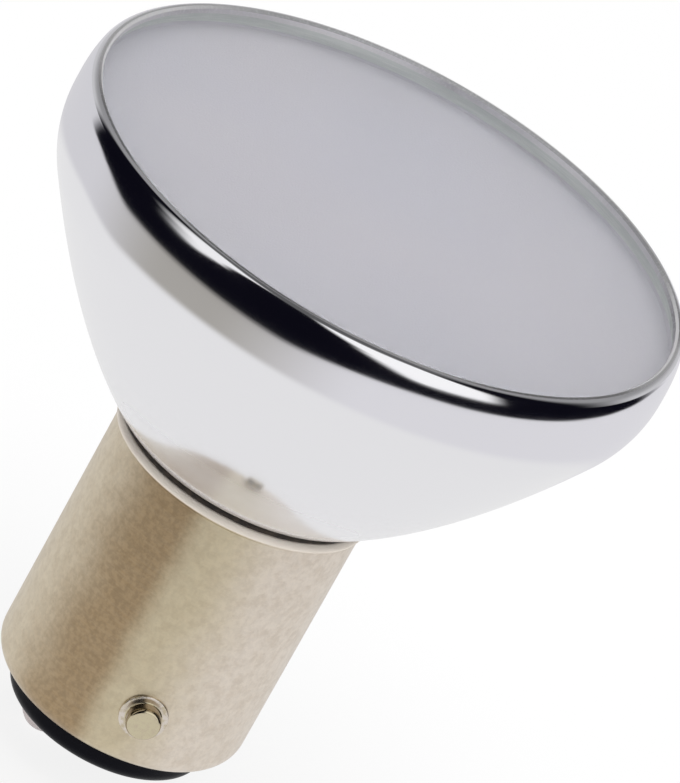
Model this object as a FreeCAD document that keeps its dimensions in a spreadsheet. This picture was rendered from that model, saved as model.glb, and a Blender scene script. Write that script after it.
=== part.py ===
"""Reflector bulb: a low-voltage halogen lamp of 37 mm class on a bayonet cap.

The frame has +Z along the lamp's axis, from the contacts to the front glass. The origin is on
that axis, level with the tips of the two solder contacts. The bayonet pins point along +Y and
-Y, and the contacts lie on +X and -X. All lengths are millimetres.
"""

import FreeCAD
import Part

import math
import os
import re

import Sketcher

Vector = FreeCAD.Vector

DRIVING_SIZES = {
    # Cap shell, a drawn nickelled brass cup with a curled foot and a beaded mouth
    "shell_radius": 7.58,
    "shell_wall": 0.3,
    "shell_length": 17.1,
    "shell_foot_width": 1.5,
    "shell_curl_radius": 1.3,
    "shell_bead_height": 0.66,
    "shell_bead_radius": 0.36,
    # Bayonet pins, riveted through the shell
    "pin_height": 3.64,
    "pin_radius": 1.0,
    "pin_length": 0.94,
    "pin_edge_chamfer": 0.24,
    "pin_shank_radius": 0.8,
    "pin_collar_radius": 1.4,
    "pin_collar_thickness": 0.14,
    "pin_rivet_radius": 1.25,
    "pin_rivet_thickness": 0.25,
    # Insulator, the glass foot of the cap
    "insulator_drop": 1.62,
    "insulator_edge_radius": 0.8,
    "insulator_inner_height": 1.8,
    "insulator_side_wall": 2.6,
    "insulator_dish_depth": 0.9,
    # Contacts
    "contact_offset": 3.1,
    "plate_radius": 1.7,
    "plate_thickness": 0.25,
    "eyelet_radius": 0.8,
    "eyelet_bore_radius": 0.5,
    "eyelet_rise": 0.4,
    "solder_radius": 1.55,
    "solder_height": 1.9,
    "solder_plug_depth": 0.8,
    # Reflector, a spun aluminium bowl with a neck and a rolled rim
    "focal_length": 5.05,
    "seam_gap": 0.4,
    "bowl_overhang": 0.27,
    "bowl_axial_wall": 1.1,
    "neck_clearance": 0.3,
    "neck_wall": 0.65,
    "neck_depth": 5.0,
    "rim_radius": 18.25,
    "rim_height": 2.75,
    "rim_wall": 0.45,
    "rim_draft": 0.2,
    "rim_blend_depth": 0.84,
    "glass_seat_width": 0.5,
    "lip_overlap": 0.41,
    "lip_round_radius": 0.5,
    "lip_thickness": 0.45,
    # Front glass
    "glass_thickness": 2.4,
    "glass_clearance": 0.1,
    "glass_edge_chamfer": 0.2,
    # Halogen capsule, a pressed quartz tube
    "capsule_radius": 4.4,
    "tip_clearance": 2.7,
    "capsule_depth": 12.0,
    "pinch_thickness": 2.8,
    "pinch_height": 7.6,
    "pinch_shoulder_height": 4.4,
    "pinch_blend_radius": 1.6,
    "tip_radius": 0.9,
    "tip_height": 1.3,
    "tip_chamfer": 0.6,
    # Cement between neck, shell and pinch
    "cement_skirt": 1.6,
    "cement_cover": 3.6,
    "cement_collar_gap": 0.2,
    # Lead wires
    "lead_radius": 0.3,
    "lead_spacing": 2.4,
    "lead_bend_radius": 2.0,
    "lead_straight": 1.2,
}

# Radii that follow from the driving sizes
SOLDER_CROWN = "((solder_radius * solder_radius + solder_height * solder_height) / (2 * solder_height))"
FOOT_RADIUS = "(shell_radius - shell_foot_width)"
SHELL_BORE = "(shell_radius - shell_wall)"
DISH_RADIUS = f"({SHELL_BORE} - insulator_side_wall)"
PIN_REACH = "(shell_radius + pin_length)"
NECK_RADIUS = f"({SHELL_BORE} - neck_clearance)"
NECK_BORE = f"({NECK_RADIUS} - neck_wall)"
BOWL_START = "(shell_radius + bowl_overhang)"
BOWL_END = "(rim_radius - rim_blend_depth)"
RIM_BORE = "(rim_radius - rim_wall)"
SEAT_RADIUS = f"({RIM_BORE} - glass_seat_width)"
LIP_RADIUS = f"({RIM_BORE} - lip_overlap)"
GLASS_RADIUS = f"({RIM_BORE} - glass_clearance)"

# The rim's blend is an arc that leaves the parabola along its tangent and ends upright. The
# parabola's slope there is twice the focal length to the radius.
BLEND_SLANT = f"sqrt({BOWL_END} * {BOWL_END} + 4 * focal_length * focal_length)"
BLEND_RADIUS = f"(rim_blend_depth / (1 - {BOWL_END} / {BLEND_SLANT}))"
BLEND_RISE = f"({BLEND_RADIUS} * 2 * focal_length / {BLEND_SLANT})"

# Heights above the origin, from the contacts up to the rim
FACE = "(solder_height + plate_thickness)"
FOOT = f"({FACE} + insulator_drop)"
MOUTH = f"({FOOT} + shell_length)"
BOWL_FOOT = f"({MOUTH} + seam_gap)"
PIN_LEVEL = f"({FOOT} + pin_height)"
DISH_TOP = f"({FOOT} + insulator_inner_height)"
DISH_FOOT = f"({DISH_TOP} - insulator_dish_depth)"
NECK_FOOT = f"({BOWL_FOOT} - neck_depth)"
VERTEX = f"({BOWL_FOOT} - {BOWL_START} * {BOWL_START} / (4 * focal_length))"
FOCUS = f"({VERTEX} + bowl_axial_wall + focal_length)"
BLEND_FOOT = f"({VERTEX} + {BOWL_END} * {BOWL_END} / (4 * focal_length))"
BAND_FOOT = f"({BLEND_FOOT} + {BLEND_RISE})"
CREST = f"({BAND_FOOT} + rim_height)"
GLASS_TOP = f"({CREST} - lip_thickness)"
GLASS_FOOT = f"({GLASS_TOP} - glass_thickness)"
TIP_TOP = f"({GLASS_FOOT} - tip_clearance)"
CROWN_TOP = f"({TIP_TOP} - tip_height)"
CROWN_FOOT = f"({CROWN_TOP} - sqrt(capsule_radius * capsule_radius - tip_radius * tip_radius))"
CAPSULE_FOOT = f"({FOCUS} - capsule_depth)"
PINCH_TOP = f"({CAPSULE_FOOT} + pinch_height)"
PLATE_FOOT = f"({FACE} - plate_thickness)"
LEAD_FOOT = f"({PLATE_FOOT} + solder_plug_depth)"

doc = FreeCAD.newDocument("ReflectorBulb")


def make_sheet():
    """Write the driving sizes to the sheet, one named cell a row."""
    sizes = doc.addObject("Spreadsheet::Sheet", "Sizes")
    for row, (name, value) in enumerate(DRIVING_SIZES.items(), start=1):
        sizes.set(f"A{row}", name)
        sizes.set(f"B{row}", str(value))
        sizes.setAlias(f"B{row}", name)
    doc.recompute()
    return sizes


sheet = make_sheet()


def bound(expression):
    """Give an expression in which every size is read from the sheet."""
    return re.sub(r"\b(?!sqrt\b)[a-z_]{3,}", lambda word: f"Sizes.{word.group(0)}", expression)


def value_of(expression):
    """Give an expression's value at the sheet's present sizes."""
    return float(sheet.evalExpression(expression))


def new_body(label):
    """Start a body for one piece of the lamp."""
    body = doc.addObject("PartDesign::Body", label)
    body.Label = label
    return body


def new_sketch(body, name, role="XZ_Plane"):
    """Start a sketch on one of the body's own planes."""
    sketch = body.newObject("Sketcher::SketchObject", f"{body.Name}_{name}")
    plane = next(item for item in body.Origin.OriginFeatures if item.Role == role)
    sketch.AttachmentSupport = [(plane, "")]
    sketch.MapMode = "FlatFace"
    return sketch


def bind(sketch, constraint, expression):
    """Add a constraint and let the sheet drive its value."""
    index = sketch.addConstraint(constraint)
    sketch.setExpression(f"Constraints[{index}]", bound(expression))


def place_point(sketch, curve, end, across=None, height=None):
    """Hold one end of a curve at a distance across and at a height, each an expression."""
    for kind, axis, expression in (("DistanceX", -2, across), ("DistanceY", -1, height)):
        if expression is None:
            continue
        if expression == "0":
            sketch.addConstraint(Sketcher.Constraint("PointOnObject", curve, end, axis))
        else:
            bind(sketch, Sketcher.Constraint(kind, -1, 1, curve, end, value_of(expression)), expression)


def section(body, name, corners, role="XZ_Plane", arcs=None, parabolas=None):
    """Draw a closed section whose corners are pairs of expressions.

    Its sides are straight, apart from those named by their first corner's index: an arc with its
    radius, or a stretch of parabola with the height of its vertex.
    """
    sketch = new_sketch(body, name, role)
    sides = []
    for index, (across, height) in enumerate(corners):
        next_across, next_height = corners[(index + 1) % len(corners)]
        start = Vector(value_of(across), value_of(height), 0)
        end = Vector(value_of(next_across), value_of(next_height), 0)
        if arcs and index in arcs:
            sides.append(add_arc(sketch, start, end, arcs[index]))
        elif parabolas and index in parabolas:
            sides.append(add_parabola(sketch, parabolas[index], across, next_across))
        else:
            sides.append(sketch.addGeometry(Part.LineSegment(start, end), False))
    for index, (across, height) in enumerate(corners):
        follower = sides[(index + 1) % len(sides)]
        sketch.addConstraint(Sketcher.Constraint("Coincident", sides[index], 2, follower, 1))
        place_point(sketch, sides[index], 1, across, height)
    doc.recompute()
    return sketch


def revolve(body, sketch):
    """Turn a sketch all the way round the lamp's axis."""
    feature = body.newObject("PartDesign::Revolution", f"{sketch.Name}_turned")
    feature.Profile = sketch
    feature.ReferenceAxis = (sketch, ["V_Axis"])
    feature.Angle = 360.0
    doc.recompute()
    return feature


def cut_through(body, sketch):
    """Cut a sketch through the whole body, to both sides of its plane."""
    pocket = body.newObject("PartDesign::Pocket", f"{sketch.Name}_cut")
    pocket.Profile = sketch
    pocket.Type = "ThroughAll"
    pocket.Midplane = True
    doc.recompute()
    return pocket


def straight_edges(shape, height):
    """Name the straight level edges that lie at a height."""
    names = []
    for index, edge in enumerate(shape.Edges, start=1):
        ends = [vertex.Point.z for vertex in edge.Vertexes]
        if isinstance(edge.Curve, Part.Line) and all(abs(end - height) < 1e-4 for end in ends):
            names.append(f"Edge{index}")
    return names


def ring_edges(shape, rings):
    """Name the circular edges about the axis that lie at the given radii and heights."""
    names = []
    for radius, height in rings:
        for index, edge in enumerate(shape.Edges, start=1):
            if not isinstance(edge.Curve, Part.Circle):
                continue
            same_radius = abs(edge.Curve.Radius - radius) < 1e-4
            if same_radius and abs(edge.Curve.Center.z - height) < 1e-4:
                names.append(f"Edge{index}")
    return names


def round_rings(body, feature, rings, radius, kind="PartDesign::Fillet"):
    """Round or chamfer the ring edges named by pairs of radius and height."""
    feature_name = f"{feature.Name}_{kind.split('::')[1]}"
    blend = body.newObject(kind, feature_name)
    blend.Base = (feature, ring_edges(feature.Shape, rings))
    size = "Size" if kind.endswith("Chamfer") else "Radius"
    blend.setExpression(size, bound(radius))
    doc.recompute()
    return blend


def ring(across, height):
    """Give the present radius and height of a corner, to find its edge."""
    return value_of(across), value_of(height)


def add_parabola(sketch, vertex, start, end):
    """Add an arc of a parabola that opens upwards from a vertex on the axis, between two radii.

    It is a curve of the second degree with one control point between its ends. Their tangents
    meet there, halfway between the two radii, so the curve is the true parabola.
    """
    corner = f"(({start} + {end}) / 2)"
    corner_height = f"({vertex} + {start} * {end} / (4 * focal_length))"
    poles = [Vector(value_of(across), value_of(height), 0) for across, height in (
        (start, parabola_height(vertex, start)),
        (corner, corner_height),
        (end, parabola_height(vertex, end)),
    )]
    curve = Part.BSplineCurve()
    curve.buildFromPolesMultsKnots(poles, (3, 3), (0.0, 1.0), False, 2)
    index = sketch.addGeometry(curve, False)
    sketch.exposeInternalGeometry(index)
    middle_pole = index + 2
    place_point(sketch, middle_pole, 3, corner, corner_height)
    return index


def add_arc(sketch, start, end, radius):
    """Add an arc that turns anticlockwise from start to end about a centre to its left."""
    size = value_of(radius)
    chord = end - start
    left = Vector(-chord.y, chord.x, 0).normalize()
    centre = (start + end) / 2 + left * math.sqrt(size * size - chord.Length ** 2 / 4)
    middle = centre - left * size
    index = sketch.addGeometry(Part.Arc(start, middle, end), False)
    bind(sketch, Sketcher.Constraint("Radius", index, size), radius)
    return index


def parabola_height(vertex, radius):
    """Give the height at which a parabola of the reflector's focal length reaches a radius."""
    return f"({vertex} + {radius} * {radius} / (4 * focal_length))"


def make_reflector():
    """Make the bowl: a neck, a shoulder over the cap, two parabolas and a rim rolled over the glass.

    The neck stands in the cap's cement, which carries the shoulder a narrow seam above the cap.

    The inner parabola is the mirror, with its focus at the capsule's filament. The outer one has
    the same focal length and lies lower by the axial wall, so the metal thins towards the rim.
    """
    body = new_body("reflector")
    band_top_radius = "(rim_radius - rim_draft)"
    mirror_vertex = f"({VERTEX} + bowl_axial_wall)"
    corners = [
        (NECK_BORE, NECK_FOOT),
        (NECK_RADIUS, NECK_FOOT),
        (NECK_RADIUS, BOWL_FOOT),
        (BOWL_START, BOWL_FOOT),
        (BOWL_END, BLEND_FOOT),
        ("rim_radius", BAND_FOOT),
        (band_top_radius, f"({CREST} - lip_round_radius)"),
        (f"({band_top_radius} - lip_round_radius)", CREST),
        (LIP_RADIUS, CREST),
        (LIP_RADIUS, GLASS_TOP),
        (RIM_BORE, GLASS_TOP),
        (RIM_BORE, GLASS_FOOT),
        (SEAT_RADIUS, GLASS_FOOT),
        (SEAT_RADIUS, parabola_height(mirror_vertex, SEAT_RADIUS)),
        (NECK_BORE, parabola_height(mirror_vertex, NECK_BORE)),
    ]
    arcs = {4: BLEND_RADIUS, 6: "lip_round_radius"}
    parabolas = {3: VERTEX, 13: mirror_vertex}
    revolve(body, section(body, "wall", corners, arcs=arcs, parabolas=parabolas))
    return body


def make_front_glass():
    """Make the glass disc that the rolled lip clamps on its seat."""
    body = new_body("front_glass")
    disc = section(body, "half", [
        ("0", GLASS_FOOT),
        (GLASS_RADIUS, GLASS_FOOT),
        (GLASS_RADIUS, GLASS_TOP),
        ("0", GLASS_TOP),
    ])
    turned = revolve(body, disc)
    rims = [ring(GLASS_RADIUS, GLASS_FOOT), ring(GLASS_RADIUS, GLASS_TOP)]
    round_rings(body, turned, rims, "glass_edge_chamfer", "PartDesign::Chamfer")
    return body


def make_cap_shell():
    """Make the cap's shell: one wall from the curled foot to the bead at its mouth, bored for pins."""
    body = new_body("cap_shell")
    corners = [
        (FOOT_RADIUS, FOOT),
        ("shell_radius", FOOT),
        ("shell_radius", f"({MOUTH} - shell_bead_height)"),
        ("shell_radius", MOUTH),
        (SHELL_BORE, MOUTH),
        (SHELL_BORE, f"({FOOT} + shell_wall)"),
        (FOOT_RADIUS, f"({FOOT} + shell_wall)"),
    ]
    wall = section(body, "wall", corners, arcs={2: "shell_bead_radius"})
    turned = revolve(body, wall)
    outer = round_rings(body, turned, [ring("shell_radius", FOOT)], "shell_curl_radius")
    round_rings(body, outer, [ring(SHELL_BORE, f"({FOOT} + shell_wall)")],
                "shell_curl_radius - shell_wall")
    holes = new_sketch(body, "pin_holes")
    hole = Part.Circle(Vector(0, value_of(PIN_LEVEL), 0), Vector(0, 0, 1), value_of("pin_shank_radius"))
    index = holes.addGeometry(hole, False)
    bind(holes, Sketcher.Constraint("Radius", index, hole.Radius), "pin_shank_radius")
    place_point(holes, index, 3, "0", PIN_LEVEL)
    cut_through(body, holes)
    return body


def make_insulator():
    """Make the black glass foot: moulded against the curl, dished inside, with two eyelet holes."""
    body = new_body("insulator")
    foot = section(body, "half", [
        ("0", FACE),
        (FOOT_RADIUS, FACE),
        (FOOT_RADIUS, f"({FOOT} + shell_wall)"),
        (SHELL_BORE, f"({FOOT} + shell_wall)"),
        (SHELL_BORE, DISH_TOP),
        (DISH_RADIUS, DISH_TOP),
        (DISH_RADIUS, DISH_FOOT),
        ("0", DISH_FOOT),
    ])
    turned = revolve(body, foot)
    curl = round_rings(body, turned, [ring(SHELL_BORE, f"({FOOT} + shell_wall)")],
                       "shell_curl_radius - shell_wall")
    round_rings(body, curl, [ring(FOOT_RADIUS, FACE)], "insulator_edge_radius")
    holes = new_sketch(body, "eyelet_holes", "XY_Plane")
    for side in (1, -1):
        centre = Vector(side * value_of("contact_offset"), 0, 0)
        index = holes.addGeometry(Part.Circle(centre, Vector(0, 0, 1), value_of("eyelet_radius")), False)
        bind(holes, Sketcher.Constraint("Radius", index, value_of("eyelet_radius")), "eyelet_radius")
        holes.addConstraint(Sketcher.Constraint("PointOnObject", index, 3, -1))
        offset = f"{side} * contact_offset"
        bind(holes, Sketcher.Constraint("DistanceX", -1, 1, index, 3, centre.x), offset)
    cut_through(body, holes)
    return body


def stand_at_contact(body, side):
    """Move a piece that is turned about its own axis to one of the two contacts."""
    body.setExpression(".Placement.Base.x", f"{side} * Sizes.contact_offset")
    doc.recompute()


def make_contact_eyelet(label, side):
    """Make a brass eyelet: a round plate on the foot's face and a tube through it."""
    body = new_body(label)
    revolve(body, section(body, "half", [
        ("eyelet_bore_radius", PLATE_FOOT),
        ("plate_radius", PLATE_FOOT),
        ("plate_radius", FACE),
        ("eyelet_radius", FACE),
        ("eyelet_radius", f"({DISH_FOOT} + eyelet_rise)"),
        ("eyelet_bore_radius", f"({DISH_FOOT} + eyelet_rise)"),
    ]))
    stand_at_contact(body, side)
    return body


def make_solder_contact(label, side):
    """Make a solder contact: a dome on the plate, with the plug that holds the lead's end."""
    body = new_body(label)
    revolve(body, section(body, "half", [
        ("0", LEAD_FOOT),
        ("0", "0"),
        ("solder_radius", PLATE_FOOT),
        ("eyelet_bore_radius", PLATE_FOOT),
        ("eyelet_bore_radius", LEAD_FOOT),
    ], arcs={1: SOLDER_CROWN}))
    stand_at_contact(body, side)
    return body


def make_halogen_capsule():
    """Make the sealed quartz capsule: a tube domed above and pressed flat below."""
    body = new_body("halogen_capsule")
    tube = revolve(body, section(body, "half", [
        ("0", CAPSULE_FOOT),
        ("capsule_radius", CAPSULE_FOOT),
        ("capsule_radius", CROWN_FOOT),
        ("tip_radius", CROWN_TOP),
        ("tip_radius", TIP_TOP),
        ("0", TIP_TOP),
    ], arcs={2: "capsule_radius"}))
    round_rings(body, tube, [ring("tip_radius", TIP_TOP)], "tip_chamfer", "PartDesign::Chamfer")
    for side, name in ((1, "press_back"), (-1, "press_front")):
        across = f"({side} * pinch_thickness / 2)"
        outside = f"({side} * (capsule_radius + pinch_thickness))"
        press = section(body, name, [
            (across, f"({CAPSULE_FOOT} - pinch_thickness)"),
            (outside, f"({CAPSULE_FOOT} - pinch_thickness)"),
            (outside, f"({PINCH_TOP} + pinch_shoulder_height)"),
            (across, PINCH_TOP),
        ], "YZ_Plane")
        pressed = cut_through(body, press)
    blend = body.newObject("PartDesign::Fillet", "pinch_blend")
    blend.Base = (pressed, straight_edges(pressed.Shape, value_of(PINCH_TOP)))
    blend.setExpression("Radius", bound("pinch_blend_radius"))
    doc.recompute()
    return body


def make_neck_cement(capsule):
    """Make the cement: cast round the pinch, with a skirt under the neck and a collar round it."""
    body = new_body("cement_plug")
    collar_top = f"({MOUTH} - shell_bead_height - cement_collar_gap)"
    plug = section(body, "half", [
        ("0", f"({NECK_FOOT} - cement_skirt)"),
        (SHELL_BORE, f"({NECK_FOOT} - cement_skirt)"),
        (SHELL_BORE, collar_top),
        (NECK_RADIUS, collar_top),
        (NECK_RADIUS, NECK_FOOT),
        (NECK_BORE, NECK_FOOT),
        (NECK_BORE, f"({NECK_FOOT} + cement_cover)"),
        ("0", f"({NECK_FOOT} + cement_cover)"),
    ])
    revolve(body, plug)
    return combine("Cut", "neck_cement", Base=body, Tool=capsule)


def make_rod(name, radius, start, length):
    """Make a rod along -Y at the level of the pins, between two distances from the axis."""
    rod = doc.addObject("Part::Cylinder", name)
    rod.setExpression("Radius", bound(radius))
    rod.setExpression("Height", bound(length))
    rod.Placement = FreeCAD.Placement(Vector(0, 0, 0), FreeCAD.Rotation(Vector(1, 0, 0), 90))
    rod.setExpression(".Placement.Base.y", bound(f"-({start})"))
    rod.setExpression(".Placement.Base.z", bound(PIN_LEVEL))
    return rod


def make_drum(name, radius):
    """Make a cylinder on the lamp's axis, tall enough to pass the pins."""
    drum = doc.addObject("Part::Cylinder", name)
    drum.setExpression("Radius", bound(radius))
    drum.setExpression("Height", bound(f"2 * {PIN_LEVEL}"))
    return drum


def combine(kind, name, **links):
    """Add a boolean of earlier solids."""
    result = doc.addObject(f"Part::{kind}", name)
    for role, link in links.items():
        setattr(result, role, link)
    return result


def make_pin_head(label):
    """Make a pin's head on the -Y side, from the shell's surface to its chamfered end."""
    body = new_body(label)
    sketch = new_sketch(body, "circle")
    sketch.setExpression(".AttachmentOffset.Base.z", bound("shell_radius"))
    circle = Part.Circle(Vector(0, value_of(PIN_LEVEL), 0), Vector(0, 0, 1), value_of("pin_radius"))
    index = sketch.addGeometry(circle, False)
    bind(sketch, Sketcher.Constraint("Radius", index, circle.Radius), "pin_radius")
    place_point(sketch, index, 3, "0", PIN_LEVEL)
    pad = body.newObject("PartDesign::Pad", f"{label}_pad")
    pad.Profile = sketch
    pad.setExpression("Length", bound("pin_length"))
    doc.recompute()
    reach = value_of(PIN_REACH)
    ends = [f"Edge{index}" for index, edge in enumerate(pad.Shape.Edges, start=1)
            if isinstance(edge.Curve, Part.Circle) and abs(edge.Curve.Center.y + reach) < 1e-6]
    chamfer = body.newObject("PartDesign::Chamfer", f"{label}_chamfer")
    chamfer.Base = (pad, ends)
    chamfer.setExpression("Size", bound("pin_edge_chamfer"))
    doc.recompute()
    return body


def make_bayonet_pin(label, turn):
    """Make a brass pin: a chamfered head, a collar on the shell, a shank in its hole and a rivet head.

    The collar is a turned flange, flat on top and seated on the shell's curve. The rivet head follows
    the shell's inner curve, because it is the part of a rod that lies between two drums.
    """
    head = make_pin_head(f"{label}_head")
    shank = make_rod(f"{label}_shank", "pin_shank_radius", f"{SHELL_BORE} - pin_rivet_thickness / 2",
                     "shell_wall + pin_rivet_thickness")
    collar_rod = make_rod(f"{label}_collar_rod", "pin_collar_radius",
                          "shell_radius - pin_collar_radius",
                          "pin_collar_radius + pin_collar_thickness")
    shell_drum = make_drum(f"{label}_shell_drum", "shell_radius")
    collar = combine("Cut", f"{label}_collar", Base=collar_rod, Tool=shell_drum)
    rivet_rod = make_rod(f"{label}_rivet_rod", "pin_rivet_radius",
                         f"{SHELL_BORE} - pin_rivet_radius", "2 * pin_rivet_radius")
    bore_drum = make_drum(f"{label}_bore_drum", SHELL_BORE)
    rivet_drum = make_drum(f"{label}_rivet_drum", f"{SHELL_BORE} - pin_rivet_thickness")
    rivet_disc = combine("Common", f"{label}_rivet_disc", Base=rivet_rod, Tool=bore_drum)
    rivet = combine("Cut", f"{label}_rivet", Base=rivet_disc, Tool=rivet_drum)
    pin = combine("MultiFuse", label, Shapes=[head, shank, collar, rivet])
    pin.Refine = True
    pin.Placement = FreeCAD.Placement(Vector(0, 0, 0), FreeCAD.Rotation(Vector(0, 0, 1), turn))
    doc.recompute()
    return pin


def make_lead_wire(label, side):
    """Make a lead wire: straight out of the pinch, a double bend outwards, straight to its eyelet."""
    body = new_body(label)
    path = new_sketch(body, "path")
    bend = value_of("lead_bend_radius")
    near = value_of("lead_spacing")
    far = value_of("contact_offset")
    top = value_of(CAPSULE_FOOT)
    turn = math.acos(1 - (far - near) / (2 * bend))
    bend_top = top - value_of("lead_straight")
    middle = Vector(side * (near + far) / 2, bend_top - bend * math.sin(turn), 0)
    bend_foot = 2 * middle.y - bend_top
    upper_centre = Vector(side * (near + bend), bend_top, 0)
    lower_centre = Vector(side * (far - bend), bend_foot, 0)
    path.addGeometry(Part.LineSegment(Vector(side * near, top, 0), Vector(side * near, bend_top, 0)), False)
    path.addGeometry(bend_arc(upper_centre, Vector(side * near, bend_top, 0), middle), False)
    path.addGeometry(bend_arc(lower_centre, middle, Vector(side * far, bend_foot, 0)), False)
    path.addGeometry(Part.LineSegment(Vector(side * far, bend_foot, 0),
                                      Vector(side * far, value_of(LEAD_FOOT), 0)), False)
    # An arc runs anticlockwise, so on one side its first end is the upper one
    upper_start = 1 if side > 0 else 2
    lower_start = 2 if side > 0 else 1
    path.addConstraint(Sketcher.Constraint("Tangent", 0, 2, 1, upper_start))
    path.addConstraint(Sketcher.Constraint("Tangent", 1, 3 - upper_start, 2, lower_start))
    path.addConstraint(Sketcher.Constraint("Tangent", 2, 3 - lower_start, 3, 1))
    path.addConstraint(Sketcher.Constraint("Vertical", 0))
    path.addConstraint(Sketcher.Constraint("Vertical", 3))
    bind(path, Sketcher.Constraint("Radius", 1, bend), "lead_bend_radius")
    bind(path, Sketcher.Constraint("Radius", 2, bend), "lead_bend_radius")
    place_point(path, 0, 1, f"{side} * lead_spacing", CAPSULE_FOOT)
    place_point(path, 0, 2, None, f"({CAPSULE_FOOT} - lead_straight)")
    place_point(path, 3, 2, f"{side} * contact_offset", LEAD_FOOT)
    wire = new_sketch(body, "wire", "XY_Plane")
    wire.setExpression(".AttachmentOffset.Base.z", bound(CAPSULE_FOOT))
    circle = Part.Circle(Vector(side * near, 0, 0), Vector(0, 0, 1), value_of("lead_radius"))
    index = wire.addGeometry(circle, False)
    bind(wire, Sketcher.Constraint("Radius", index, circle.Radius), "lead_radius")
    place_point(wire, index, 3, f"{side} * lead_spacing", "0")
    doc.recompute()
    pipe = body.newObject("PartDesign::AdditivePipe", f"{label}_pipe")
    pipe.Profile = wire
    pipe.Spine = path
    doc.recompute()
    return body


def bend_arc(centre, start, end):
    """Give the shorter arc about a centre between two points."""
    half_way = (start + end) / 2 - centre
    middle = centre + half_way.normalize() * (start - centre).Length
    return Part.Arc(start, middle, end)


def make_pieces():
    """Make every piece of the lamp, in the order in which it is put together."""
    capsule = make_halogen_capsule()
    pieces = [make_cap_shell(), make_insulator()]
    for place, turn in (("front", 0), ("back", 180)):
        pieces.append(make_bayonet_pin(f"bayonet_pin_{place}", turn))
    for place, side in (("left", -1), ("right", 1)):
        pieces.append(make_contact_eyelet(f"contact_eyelet_{place}", side))
        pieces.append(make_solder_contact(f"solder_contact_{place}", side))
        pieces.append(make_lead_wire(f"lead_wire_{place}", side))
    pieces += [make_reflector(), capsule, make_neck_cement(capsule), make_front_glass()]
    doc.recompute()
    return pieces


def check(pieces):
    """Stop if an object has failed, or if a piece is not one valid solid."""
    for item in doc.Objects:
        if "Invalid" in item.State or "Error" in item.State:
            raise RuntimeError(f"{item.Name} has not been worked out: {item.State}")
    for piece in pieces:
        shape = piece.Shape
        if shape.isNull() or not shape.isValid() or len(shape.Solids) != 1:
            raise RuntimeError(f"{piece.Label} is not one valid solid")


def write(pieces):
    """Write each piece to a file of its own."""
    os.makedirs("parts", exist_ok=True)
    for piece in pieces:
        piece.Shape.exportStep(f"parts/{piece.Label}.step")
        print(f"{piece.Label}: {piece.Shape.Volume:.2f} mm3")


all_pieces = make_pieces()
check(all_pieces)
write(all_pieces)
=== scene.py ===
"""Looks of the reflector bulb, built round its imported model.

The lamp is upright, with +Z along its axis and the contacts' tips at height 0. Lengths in the
classes below are millimetres, as on the maker's drawing, and become metres only where a mesh is
written. Angles are degrees. An angle round the lamp counts from the front that the photograph
shows, positive to its right.
"""

import logging
import math
from collections.abc import Sequence
from dataclasses import dataclass, field, replace
from enum import Enum

import bmesh
import bpy
import numpy as np
from mathutils import Matrix, Vector


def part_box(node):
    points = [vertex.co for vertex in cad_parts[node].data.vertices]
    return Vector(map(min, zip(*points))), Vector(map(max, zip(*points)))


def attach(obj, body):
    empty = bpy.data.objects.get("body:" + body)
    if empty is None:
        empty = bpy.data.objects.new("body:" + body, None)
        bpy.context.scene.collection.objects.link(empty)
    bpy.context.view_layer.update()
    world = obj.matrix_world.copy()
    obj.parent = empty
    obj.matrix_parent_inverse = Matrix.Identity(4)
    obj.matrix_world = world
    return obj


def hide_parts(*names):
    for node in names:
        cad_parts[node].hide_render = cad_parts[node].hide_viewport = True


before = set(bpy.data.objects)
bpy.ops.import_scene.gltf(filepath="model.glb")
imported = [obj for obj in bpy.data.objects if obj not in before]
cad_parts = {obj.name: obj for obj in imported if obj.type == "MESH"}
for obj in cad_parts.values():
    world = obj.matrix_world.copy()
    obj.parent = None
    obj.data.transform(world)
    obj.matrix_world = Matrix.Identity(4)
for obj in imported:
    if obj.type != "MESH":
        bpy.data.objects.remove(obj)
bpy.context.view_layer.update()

Colour = tuple[float, float, float]
Span = tuple[float, float]
Socket = bpy.types.NodeSocket
Material = bpy.types.Material
Faces = list[list[int]]

LOG = logging.getLogger("reflector_bulb")
BODY = "root"
MM = 0.001
FULL_TURN = 2.0 * math.pi
WHITE: Colour = (1.0, 1.0, 1.0)
# Turn of the photograph's view from -Y
FRONT_AZIMUTH = -15.3
# Angle between faces above which their corner stays crisp
CRISP_ANGLE = 32.0
# Radius below which a profile point lies on its axis
ON_AXIS = 1e-9
# Open seam between the cap's bead and the bowl
SEAM_GAP = 0.4


def height_of(node: str, corner: int) -> float:
    """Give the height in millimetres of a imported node's lowest (0) or highest (1) corner."""
    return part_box(node)[corner].z / MM


def parabola_rise(radius: float | np.ndarray, focal: float) -> float | np.ndarray:
    """Give a parabola's height over its vertex: radius squared over four focal lengths."""
    return radius ** 2 / (4.0 * focal)


class Slot(Enum):
    """Material slots of the record, one named for each kind of redrawn piece."""

    BOWL = "polished_aluminium"
    GLASS = "frosted_glass"
    SHELL = "nickel_plate"
    PIN = "pin_metal"
    FOOT = "black_glass"
    SOLDER = "solder"
    CEMENT = "cement"


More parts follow.
